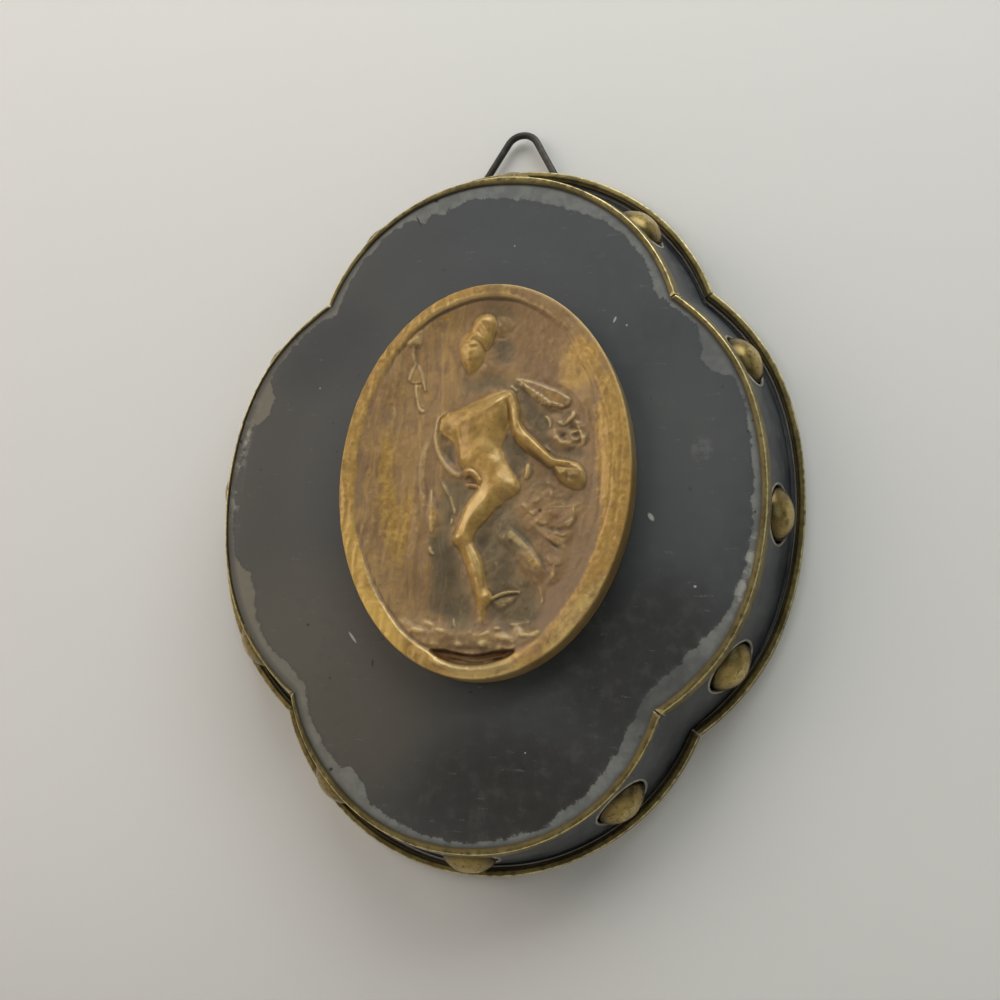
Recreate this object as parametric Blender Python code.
"""Wall medallion: a bronzed plaster oval on a shallow four-lobed plaque of sheet metal and brass strip.

Metres, +Z up, +X to the viewer's right. The flat back lies on the plane y = 0 and the front faces -Y.
The origin is the middle of the back, where the plaque meets the wall.
"""
import math

import bmesh
import bpy
import numpy as np
from mathutils import Matrix, Vector

MM = 0.001
GAP = 0.3 * MM

# Four-lobed outline of the front edge: how far each lobe reaches, and where two lobes meet in a notch.
LOBE_RISE = 70.0 * MM
LOBE_REACH = 56.8 * MM
NOTCH = Vector((37.7 * MM, 42.0 * MM))
SIDE_FULLNESS = 0.058
STEPS_PER_LOBE = 16

# Depths, measured from the wall to the front.
DRUM_DEPTH = 17.2 * MM
BACK_SHEET = 0.7 * MM
FRONT_SHEET = 1.0 * MM
BAND_SHEET = 0.6 * MM
BRASS_SHEET = 0.5 * MM
FRONT_RIM_DEPTH = 2.6 * MM
FRONT_LIP_WIDTH = 0.95 * MM
REAR_RIM_DEPTH = 3.0 * MM
REAR_RIM_WIDTH = 1.8 * MM
REAR_RIM_CORNER = 0.45 * MM
REAR_RIM_GROW = 7.05 * MM
REAR_NOTCH_GROW = 7.4 * MM

# The side flares backward. The drum sits a little low on its back plate.
BAND_REAR_DEPTH = BACK_SHEET + GAP
BAND_REAR_GROW = 4.15 * MM
BAND_REAR_NOTCH_GROW = 5.1 * MM
FRONT_DROP = 1.3 * MM
BAND_REAR_DROP = 0.5 * MM
BOTTOM_LOBE_EXTRA = 0.7 * MM

# Studs: three to a lobe, set out by hand, so a little unevenly.
# Distances clockwise along the lobe from its middle.
STUD_ALONGS = (
    (-33.5 * MM, 0.0 * MM, 32.0 * MM),
    (-31.7 * MM, 1.8 * MM, 34.0 * MM),
    (-33.5 * MM, 0.0 * MM, 33.5 * MM),
    (-33.5 * MM, 1.3 * MM, 32.9 * MM),
)
STUD_DEPTH = 8.0 * MM
STUD_HOLE_RADIUS = 6.1 * MM
STUD_HOLE_SIDES = 16
STUD_RADIUS = 5.3 * MM
STUD_RISE = 2.9 * MM
STUD_SHEET = 0.4 * MM
DOME_POWER = 2.0
FLANGE_RADIUS = 6.5 * MM
FLANGE_CLEARANCE = 0.9 * MM
STUD_SIDES = 12

# Wire loop: its feet stand in two holes in the top strip of the rear rim.
WIRE_RADIUS = 0.8 * MM
WIRE_DEPTH = 0.5 * REAR_RIM_DEPTH
WIRE_MIDDLE = -0.3 * MM
FOOT_HALF_SPACING = 8.0 * MM
FOOT_HEIGHT = 76.4 * MM
WIRE_RISE = 10.4 * MM
LEG_LEAN = math.radians(29.0)
LEG_SUNK = 1.0 * MM
WIRE_HOLE_RADIUS = WIRE_RADIUS + 0.25 * MM

# Plaster oval: half axes at its front edge, its extra width at the foot, and its heights over the sheet.
OVAL_HALF_WIDTH = 30.2 * MM
OVAL_HALF_HEIGHT = 40.6 * MM
OVAL_DRAFT = 0.3 * MM
OVAL_CENTRE = Vector((0.98 * MM, 1.74 * MM))
OVAL_RIM_TOP = 5.6 * MM
OVAL_FIELD = 4.0 * MM
OVAL_COLUMNS = 40
OVAL_ROWS = 46

ZINC = ((0.105, 0.112, 0.115), 0.55, 0.75)
BRASS = ((0.30, 0.215, 0.08), 0.42, 0.95)
BRONZED_PLASTER = ((0.36, 0.22, 0.085), 0.5, 0.25)
BLACK_IRON = ((0.03, 0.03, 0.03), 0.6, 0.6)


# ---------------------------------------------------------------- materials and meshes

def make_material(name, look):
    """A Principled material from a colour, a roughness and a metallic value."""
    colour, roughness, metallic = look
    material = bpy.data.materials.new(name)
    material.use_nodes = True
    shader = material.node_tree.nodes["Principled BSDF"]
    shader.inputs["Base Color"].default_value = (*colour, 1.0)
    shader.inputs["Roughness"].default_value = roughness
    shader.inputs["Metallic"].default_value = metallic
    material.diffuse_color = (*colour, 1.0)
    return material


def closed_mesh(name, vertices, faces):
    """A mesh from points and faces, with its faces turned outward."""
    mesh = bpy.data.meshes.new(name)
    mesh.from_pydata([tuple(v) for v in vertices], [], faces)
    shell = bmesh.new()
    shell.from_mesh(mesh)
    bmesh.ops.recalc_face_normals(shell, faces=shell.faces)
    shell.to_mesh(mesh)
    shell.free()
    return mesh


def turned_mesh(name, profile, sides):
    """A solid turned about its own Z from a profile of (radius, height) that starts and ends on the axis."""
    mesh = bpy.data.meshes.new(name)
    shell = bmesh.new()
    line = [shell.verts.new((radius, 0.0, height)) for radius, height in profile]
    edges = [shell.edges.new(pair) for pair in zip(line, line[1:])]
    bmesh.ops.spin(shell, geom=line + edges, axis=(0, 0, 1), cent=(0, 0, 0), angle=math.tau, steps=sides)
    bmesh.ops.remove_doubles(shell, verts=shell.verts, dist=0.001 * MM)
    bmesh.ops.recalc_face_normals(shell, faces=shell.faces)
    shell.to_mesh(mesh)
    shell.free()
    return mesh


def add_object(name, mesh, plaque, material=None, place=None, smooth_below=math.radians(40)):
    """Link a mesh as one named object on the plaque, shaded smooth below an angle."""
    if material:
        mesh.shade_smooth()
        mesh.set_sharp_from_angle(angle=smooth_below)
        mesh.materials.append(material)
    piece = bpy.data.objects.new(name, mesh)
    bpy.context.collection.objects.link(piece)
    piece.parent = plaque
    if place:
        piece.matrix_local = place
    return piece


def cut(piece, cutter_name, mesh, place):
    """Take a closed cutter away from a piece."""
    cutter = add_object(cutter_name, mesh, piece.parent, place=place)
    cutter.hide_render = True
    cutter.display_type = "WIRE"
    boolean = piece.modifiers.new(cutter_name, "BOOLEAN")
    boolean.operation = "DIFFERENCE"
    boolean.solver = "EXACT"
    boolean.object = cutter


def standing_on(point, normal, run):
    """A placement whose Z is the normal and whose X runs along the edge."""
    turn = Matrix((run, normal.cross(run), normal)).transposed()
    return Matrix.Translation(point) @ turn.to_4x4()


def drill(radius, reach):
    """The profile of a plain cylinder, half of it on each side of its origin."""
    return [(0.0, -reach), (radius, -reach), (radius, reach), (0.0, reach)]


# ---------------------------------------------------------------- the lobed outline

def lobe_arc(reach, half_chord, notch_along, fullness, steps):
    """One lobe seen from its own side: (across, along) on an arc over the crown and its two notches."""
    middle = (reach ** 2 - notch_along ** 2 - half_chord ** 2) / (2 * (reach - notch_along))
    radius = reach - middle
    half_turn = math.atan2(half_chord, notch_along - middle)
    points = []
    for i in range(steps + 1):
        angle = half_turn * (2 * i / steps - 1)
        across = radius * math.sin(angle)
        share = (across / half_chord) ** 2
        swell = 4 * fullness * (reach - notch_along) * share * (1 - share)
        points.append(Vector((across, middle + radius * math.cos(angle) + swell)))
    return points


def notch_mitre():
    """How far a notch moves, in x and in z, for each metre that both of its lobes grow."""
    tall = lobe_arc(LOBE_RISE, NOTCH.x, NOTCH.y, 0.0, 400)
    side = lobe_arc(LOBE_REACH, NOTCH.y, NOTCH.x, SIDE_FULLNESS, 400)
    run_tall = (tall[-1] - tall[-2]).normalized()
    run_side = (side[-1] - side[-2]).normalized()
    out_tall = Vector((-run_tall.y, run_tall.x))
    out_side = Vector((run_side.x, -run_side.y))
    return (out_tall + out_side) / (1 + out_tall.dot(out_side))


MITRE = notch_mitre()


def lobe(side, grow, notch_grow, steps=STEPS_PER_LOBE):
    """Points (x, z) of one lobe, clockwise between notches. Sides: 0 top, 1 right, 2 bottom, 3 left."""
    notch = NOTCH + notch_grow * MITRE
    if side % 2 == 0:
        arc = lobe_arc(LOBE_RISE + grow, notch.x, notch.y, 0.0, steps)
        points = [Vector((p.x, p.y)) for p in arc]
    else:
        arc = lobe_arc(LOBE_REACH + grow, notch.y, notch.x, SIDE_FULLNESS, steps)
        points = [Vector((p.y, -p.x)) for p in arc]
    if side >= 2:
        points = [-p for p in points]
    return points


def drop_at(depth):
    """How low the drum sits on the back plate at a depth: nothing on the plate, most at the front."""
    if depth < BAND_REAR_DEPTH:
        return 0.0
    share = (depth - BAND_REAR_DEPTH) / (DRUM_DEPTH - BAND_REAR_DEPTH)
    return BAND_REAR_DROP + share * (FRONT_DROP - BAND_REAR_DROP)


def lobe_at(side, grow, notch_grow, depth, dropped, steps=STEPS_PER_LOBE):
    """The same lobe in 3-D at a depth from the wall. The drum's bottom lobe is a little fuller in front."""
    drop = drop_at(depth) if dropped else 0.0
    if dropped and side == 2:
        grow += BOTTOM_LOBE_EXTRA * depth / DRUM_DEPTH
    return [Vector((p.x, -depth, p.y - drop)) for p in lobe(side, grow, notch_grow, steps)]


def strip_solid(section, side, dropped):
    """A strip along one lobe. The section lists (grow, notch_grow, depth); the ends leave half a seam."""
    runs = [lobe_at(side, *corner, dropped) for corner in section]
    for run in runs:
        run[0] = run[0].lerp(run[1], 0.5 * GAP / (run[1] - run[0]).length)
        run[-1] = run[-1].lerp(run[-2], 0.5 * GAP / (run[-1] - run[-2]).length)
    count = len(section)
    vertices = [run[i] for i in range(STEPS_PER_LOBE + 1) for run in runs]
    faces = []
    for i in range(STEPS_PER_LOBE):
        for j in range(count):
            k = (j + 1) % count
            faces.append((i * count + j, i * count + k, (i + 1) * count + k, (i + 1) * count + j))
    last = STEPS_PER_LOBE * count
    faces += [tuple(range(count)), tuple(range(last, last + count))]
    return vertices, faces


def loop_solid(section, dropped):
    """The same sweep carried round all four lobes and closed on itself."""
    count = len(section)
    rings = [[p for side in range(4) for p in lobe_at(side, *corner, dropped)[:-1]] for corner in section]
    around = len(rings[0])
    vertices = [ring[i] for i in range(around) for ring in rings]
    faces = []
    for i in range(around):
        n = (i + 1) % around
        for j in range(count):
            k = (j + 1) % count
            faces.append((i * count + j, i * count + k, n * count + k, n * count + j))
    return vertices, faces


def sheet_solid(grow, notch_grow, depth_back, depth_front, dropped):
    """A flat lobed sheet between two depths, upright-edged."""
    back = [p for side in range(4) for p in lobe_at(side, grow, notch_grow, depth_front, dropped)[:-1]]
    front = [p.copy() for p in back]
    for p in back:
        p.y = -depth_back
    around = len(back)
    faces = [(i, (i + 1) % around, around + (i + 1) % around, around + i) for i in range(around)]
    faces += [tuple(range(around)), tuple(range(around, 2 * around))]
    return back + front, faces


# ---------------------------------------------------------------- the drum

FLARE = (BAND_REAR_GROW + BRASS_SHEET + GAP) / (DRUM_DEPTH - BAND_REAR_DEPTH)
NOTCH_FLARE = (BAND_REAR_NOTCH_GROW + BRASS_SHEET + GAP) / (DRUM_DEPTH - BAND_REAR_DEPTH)


def flared(inset, depth):
    """A section corner (grow, notch_grow, depth) that lies `inset` inside the front rim's flared outside."""
    back = DRUM_DEPTH - depth
    return (FLARE * back - inset, NOTCH_FLARE * back - inset, depth)


SIDES = ("top", "right", "bottom", "left")
FRONT_FACE = DRUM_DEPTH - BRASS_SHEET - GAP
BAND_OUTER = BRASS_SHEET + GAP
BAND_FRONT_DEPTH = FRONT_FACE - FRONT_SHEET - GAP


def make_plates(plaque, zinc):
    """The flat back sheet, and the front sheet that the front rim's lip holds."""
    inner = REAR_RIM_WIDTH + GAP
    back = sheet_solid(REAR_RIM_GROW - inner, REAR_NOTCH_GROW - inner, 0.0, BACK_SHEET, False)
    add_object("back_plate", closed_mesh("back_plate", *back), plaque, zinc)
    grow = flared(BRASS_SHEET + GAP, FRONT_FACE)[0]
    front = sheet_solid(grow, grow, FRONT_FACE - FRONT_SHEET, FRONT_FACE, True)
    add_object("front_plate", closed_mesh("front_plate", *front), plaque, zinc)


def make_rims(plaque, brass):
    """Brass strips, one to a lobe: an angle round the front edge, and a rounded bar round the back edge."""
    under_lip = DRUM_DEPTH - BRASS_SHEET
    foot = DRUM_DEPTH - FRONT_RIM_DEPTH
    lip = -FRONT_LIP_WIDTH
    angle = [flared(0.0, DRUM_DEPTH), (lip, lip, DRUM_DEPTH), (lip, lip, under_lip),
             flared(BRASS_SHEET, under_lip), flared(BRASS_SHEET, foot), flared(0.0, foot)]
    c = REAR_RIM_CORNER
    bar = [(0.0, 0.0), (0.0, REAR_RIM_DEPTH - c), (c, REAR_RIM_DEPTH), (REAR_RIM_WIDTH - c, REAR_RIM_DEPTH),
           (REAR_RIM_WIDTH, REAR_RIM_DEPTH - c), (REAR_RIM_WIDTH, 0.0)]
    bar = [(REAR_RIM_GROW - inward, REAR_NOTCH_GROW - inward, depth) for inward, depth in bar]
    for side, place in enumerate(SIDES):
        front = closed_mesh("front_rim_" + place, *strip_solid(angle, side, True))
        add_object("front_rim_" + place, front, plaque, brass)
        rear = closed_mesh("rear_rim_" + place, *strip_solid(bar, side, False))
        add_object("rear_rim_" + place, rear, plaque, brass)


def band_frame(side, along):
    """A point on the band at the studs' depth, with its outward normal and its run along the edge."""
    steps = 60
    front = lobe_at(side, *flared(BAND_OUTER, BAND_FRONT_DEPTH), True, steps)
    rear = lobe_at(side, *flared(BAND_OUTER, BAND_REAR_DEPTH), True, steps)
    share = (BAND_FRONT_DEPTH - STUD_DEPTH) / (BAND_FRONT_DEPTH - BAND_REAR_DEPTH)
    line = [a.lerp(b, share) for a, b in zip(front, rear)]
    length = sum((b - a).length for a, b in zip(line, line[1:]))
    walked = -0.5 * length
    for i in range(steps):
        piece = (line[i + 1] - line[i]).length
        if walked + piece >= along:
            break
        walked += piece
    point = line[i].lerp(line[i + 1], (along - walked) / piece)
    run = (line[i + 1] - line[i]).normalized()
    normal = run.cross(rear[i] - front[i]).normalized()
    return standing_on(point, normal, run)


def stud_places():
    """The studs' placements on the band, clockwise from the left one of the top lobe."""
    places = []
    for side in range(4):
        places += [band_frame(side, along) for along in STUD_ALONGS[side]]
    return places


def make_band(plaque, zinc, places):
    """The flared side, with a round hole under each stud."""
    inside = BAND_OUTER + BAND_SHEET
    section = [flared(BAND_OUTER, BAND_FRONT_DEPTH), flared(BAND_OUTER, BAND_REAR_DEPTH),
               flared(inside, BAND_REAR_DEPTH), flared(inside, BAND_FRONT_DEPTH)]
    band = add_object("side_band", closed_mesh("side_band", *loop_solid(section, True)), plaque, zinc)
    cutter = turned_mesh("hole_cutter", drill(STUD_HOLE_RADIUS, 3 * MM), STUD_HOLE_SIDES)
    for number, place in enumerate(places, 1):
        cut(band, f"hole_cutter_{number:02d}", cutter, place)


def make_studs(plaque, brass, places):
    """Pressed domes turned from one sheet profile: a crown, a short wall and a flange behind the band."""
    flange = -(BAND_SHEET + FLANGE_CLEARANCE)
    back = flange - STUD_SHEET
    inner = STUD_RADIUS - STUD_SHEET

    def dome(radius, crown, share):
        return radius * share, crown * (1 - share ** DOME_POWER)

    profile = [(0.0, STUD_RISE)]
    profile += [dome(STUD_RADIUS, STUD_RISE, share) for share in (0.42, 0.78, 1.0)]
    profile += [(STUD_RADIUS, flange), (FLANGE_RADIUS, flange), (FLANGE_RADIUS, back), (inner, back)]
    profile += [(inner, 0.0), dome(inner, STUD_RISE - STUD_SHEET, 0.6), (0.0, STUD_RISE - STUD_SHEET)]
    mesh = turned_mesh("stud", profile, STUD_SIDES)
    mesh.shade_smooth()
    mesh.set_sharp_from_angle(angle=math.radians(50))
    mesh.materials.append(brass)
    for number, place in enumerate(places, 1):
        add_object(f"stud_{number:02d}", mesh, plaque, place=place)


# ---------------------------------------------------------------- the wire loop

def wire_path():
    """Centre line of the loop: a straight leg, a round bend over the top and the other leg."""
    bend = (FOOT_HALF_SPACING / math.tan(LEG_LEAN) - WIRE_RISE) / (1 / math.sin(LEG_LEAN) - 1)
    centre = Vector((WIRE_MIDDLE, -WIRE_DEPTH, FOOT_HEIGHT + WIRE_RISE - bend))
    half_turn = 0.5 * math.pi - LEG_LEAN
    steps = 10
    over = [centre + bend * Vector((math.sin(a), 0, math.cos(a)))
            for a in (half_turn * (2 * i / steps - 1) for i in range(steps + 1))]
    down = Vector((math.sin(LEG_LEAN), 0, -math.cos(LEG_LEAN)))
    feet = []
    for side in (-1, 1):
        foot = Vector((WIRE_MIDDLE + side * FOOT_HALF_SPACING, -WIRE_DEPTH, FOOT_HEIGHT))
        feet.append(foot + LEG_SUNK * Vector((side * down.x, 0, down.z)))
    left = [feet[0].lerp(over[0], i / 3) for i in range(3)]
    right = [over[-1].lerp(feet[1], i / 3) for i in range(1, 4)]
    return left + over + right


def make_wire(plaque, iron):
    """The bent wire, and the two slanting holes for its feet."""
    path = wire_path()
    curve = bpy.data.curves.new("hanging_wire", "CURVE")
    curve.dimensions = "3D"
    curve.bevel_depth = WIRE_RADIUS
    curve.bevel_resolution = 2
    curve.use_fill_caps = True
    spline = curve.splines.new("POLY")
    spline.points.add(len(path) - 1)
    for point, place in zip(spline.points, path):
        point.co = (*place, 1.0)
    curve.materials.append(iron)
    wire = bpy.data.objects.new("hanging_wire", curve)
    bpy.context.collection.objects.link(wire)
    wire.parent = plaque
    rim = bpy.data.objects["rear_rim_top"]
    cutter = turned_mesh("foot_cutter", drill(WIRE_HOLE_RADIUS, 5 * MM), 12)
    for name, foot, knee in (("left", path[0], path[2]), ("right", path[-1], path[-3])):
        up = (knee - foot).normalized()
        cut(rim, "foot_cutter_" + name, cutter, standing_on(foot, up, Vector((0, 1, 0))))


# ---------------------------------------------------------------- the plaster oval

def limb(x, z, path, height):
    """Height of a rounded limb. The path lists (x, z, radius) in millimetres; the height is its crown's."""
    best = np.zeros_like(x)
    for (x0, z0, r0), (x1, z1, r1) in zip(path, path[1:]):
        dx, dz = x1 - x0, z1 - z0
        t = np.clip(((x - x0) * dx + (z - z0) * dz) / (dx * dx + dz * dz), 0.0, 1.0)
        away = np.hypot(x - x0 - t * dx, z - z0 - t * dz) / (r0 + t * (r1 - r0))
        best = np.maximum(best, height * np.sqrt(np.clip(1.0 - away ** 2, 0.0, 1.0)))
    return best


def relief(x, z):
    """Height of the carving over the field, in millimetres, at (x, z) from the oval's middle."""
    forms = [
        # drapery behind: the hanging panel, the flying scarf and the gathered folds
        (0.7, [(-11.6, 9.0, 1.0), (-11.0, 0.0, 1.5), (-10.3, -9.5, 1.2)]),
        (0.9, [(6.5, 20.3, 0.9), (11.0, 18.0, 1.9), (15.5, 15.3, 1.2)]),
        (0.9, [(16.0, 9.8, 3.0), (18.2, 11.8, 2.0)]),
        (0.7, [(9.5, -4.5, 2.0), (18.5, -5.0, 1.6)]),
        (0.8, [(9.5, -8.0, 1.8), (17.5, -8.8, 1.6)]),
        (0.6, [(11.0, -9.5, 1.2), (16.5, -12.0, 1.4)]),
        # the far leg, bent, its foot lifted
        (1.0, [(5.0, -5.5, 3.8), (7.5, -13.0, 3.6), (11.0, -17.6, 2.2), (8.5, -21.5, 1.7)]),
        (0.9, [(3.8, -24.4, 1.3), (8.2, -23.4, 1.3)]),
        # the near leg
        (1.8, [(2.4, -2.0, 4.6), (-0.4, -6.8, 3.8), (-3.2, -11.4, 2.6), (-3.4, -13.0, 2.3)]),
        (1.6, [(-3.2, -13.0, 2.3), (-0.9, -17.2, 2.3), (1.0, -22.5, 1.5)]),
        (1.5, [(1.0, -22.5, 1.5), (1.5, -26.0, 1.0), (0.8, -28.6, 1.2)]),
        # trunk: hips, waist and chest
        (1.8, [(3.6, -1.4, 3.8), (-1.2, 3.8, 4.0), (-1.2, 9.0, 5.2), (-2.2, 12.0, 5.6)]),
        (1.6, [(-7.2, 12.6, 2.4), (-1.0, 14.6, 2.4), (3.4, 15.8, 2.4)]),
        # arms, and what the hand holds
        (1.0, [(-9.2, 12.2, 1.7), (-10.1, 6.2, 1.2), (-6.4, 1.6, 1.1), (-2.4, 0.6, 1.3)]),
        (1.5, [(4.6, 15.6, 1.9), (6.6, 9.4, 1.8), (11.0, 5.6, 1.5), (15.5, 3.0, 1.2)]),
        (1.2, [(15.8, 1.6, 1.9), (19.0, 0.2, 1.7)]),
        # neck, head and crested helmet
        (1.0, [(-2.0, 18.0, 1.8), (-3.0, 23.0, 1.7)]),
        (1.7, [(-5.0, 24.2, 2.0), (-4.4, 27.2, 2.3)]),
        (1.6, [(-3.6, 29.6, 2.3), (-3.1, 33.0, 2.0)]),
        (0.7, [(-1.0, 33.6, 2.0), (3.0, 32.6, 2.4)]),
        # knob on the rim, with a tasselled rod
        (0.9, [(-20.0, 29.8, 1.6), (-16.4, 30.2, 1.8)]),
        (0.7, [(-16.4, 25.0, 0.8), (-16.2, 21.6, 1.4), (-14.3, 14.6, 0.8)]),
        # rocky ground
        (1.0, [(-15.0, -31.0, 1.6), (-6.0, -31.4, 1.9), (3.0, -31.6, 2.2), (12.0, -30.6, 1.9)]),
    ]
    height = np.zeros_like(x)
    for crown, path in forms:
        height = np.maximum(height, limb(x, z, path, crown))
    hollow = limb(x, z, [(-6.0, -35.4, 1.3), (0.0, -36.6, 1.3), (7.0, -35.2, 1.2)], 0.6)
    return height - hollow


def rim_step(x, z):
    """Height of the raised border over the field, 0 to 1, from how far out a point lies on the oval."""
    out = np.hypot(x / (OVAL_HALF_WIDTH / MM), z / (OVAL_HALF_HEIGHT / MM))
    return np.clip((out - 0.895) / 0.03, 0.0, 1.0)


def make_medallion(plaque, plaster):
    """The oval as a grid bent to the ellipse, finer over the figure, on an upright side and a flat foot."""
    s = np.linspace(-1, 1, OVAL_COLUMNS + 1)
    t = np.linspace(-1, 1, OVAL_ROWS + 1)
    u, v = np.meshgrid(0.62 * s + 0.38 * s ** 3, t)
    x = OVAL_HALF_WIDTH / MM * u * np.sqrt(1 - 0.5 * v ** 2)
    z = OVAL_HALF_HEIGHT / MM * v * np.sqrt(1 - 0.5 * u ** 2)
    border = rim_step(x, z)
    over_field = np.maximum(relief(x, z) * (1 - border), (OVAL_RIM_TOP - OVAL_FIELD) / MM * border)
    height = OVAL_FIELD + over_field * MM
    vertices = [Vector((a * MM, -h, b * MM)) for a, b, h in zip(x.ravel(), z.ravel(), height.ravel())]
    columns = OVAL_COLUMNS + 1
    faces = []
    for row in range(OVAL_ROWS):
        for column in range(OVAL_COLUMNS):
            i = row * columns + column
            faces.append((i, i + 1, i + columns + 1, i + columns))
    last = OVAL_ROWS * columns
    edge = list(range(columns)) + [row * columns + OVAL_COLUMNS for row in range(1, OVAL_ROWS)]
    edge += [last + column for column in range(OVAL_COLUMNS, -1, -1)]
    edge += [row * columns for row in range(OVAL_ROWS - 1, 0, -1)]
    spread = 1.0 + OVAL_DRAFT / OVAL_HALF_WIDTH
    foot = len(vertices)
    vertices += [Vector((spread * vertices[i].x, -0.5 * GAP, spread * vertices[i].z)) for i in edge]
    around = len(edge)
    for i in range(around):
        n = (i + 1) % around
        faces.append((edge[i], edge[n], foot + n, foot + i))
    faces.append(tuple(range(foot, foot + around)))
    place = Matrix.Translation((OVAL_CENTRE.x, -FRONT_FACE, OVAL_CENTRE.y))
    mesh = closed_mesh("medallion", vertices, faces)
    add_object("medallion", mesh, plaque, plaster, place, math.radians(60))


# ---------------------------------------------------------------- the whole

def build():
    """Clear the scene and make every piece."""
    for old in list(bpy.data.objects):
        bpy.data.objects.remove(old, do_unlink=True)
    plaque = bpy.data.objects.new("plaque", None)
    bpy.context.collection.objects.link(plaque)
    zinc = make_material("patinated_zinc", ZINC)
    brass = make_material("aged_brass", BRASS)
    plaster = make_material("bronzed_plaster", BRONZED_PLASTER)
    iron = make_material("black_iron", BLACK_IRON)
    make_plates(plaque, zinc)
    make_rims(plaque, brass)
    places = stud_places()
    make_band(plaque, zinc, places)
    make_studs(plaque, brass, places)
    make_wire(plaque, iron)
    make_medallion(plaque, plaster)


build()
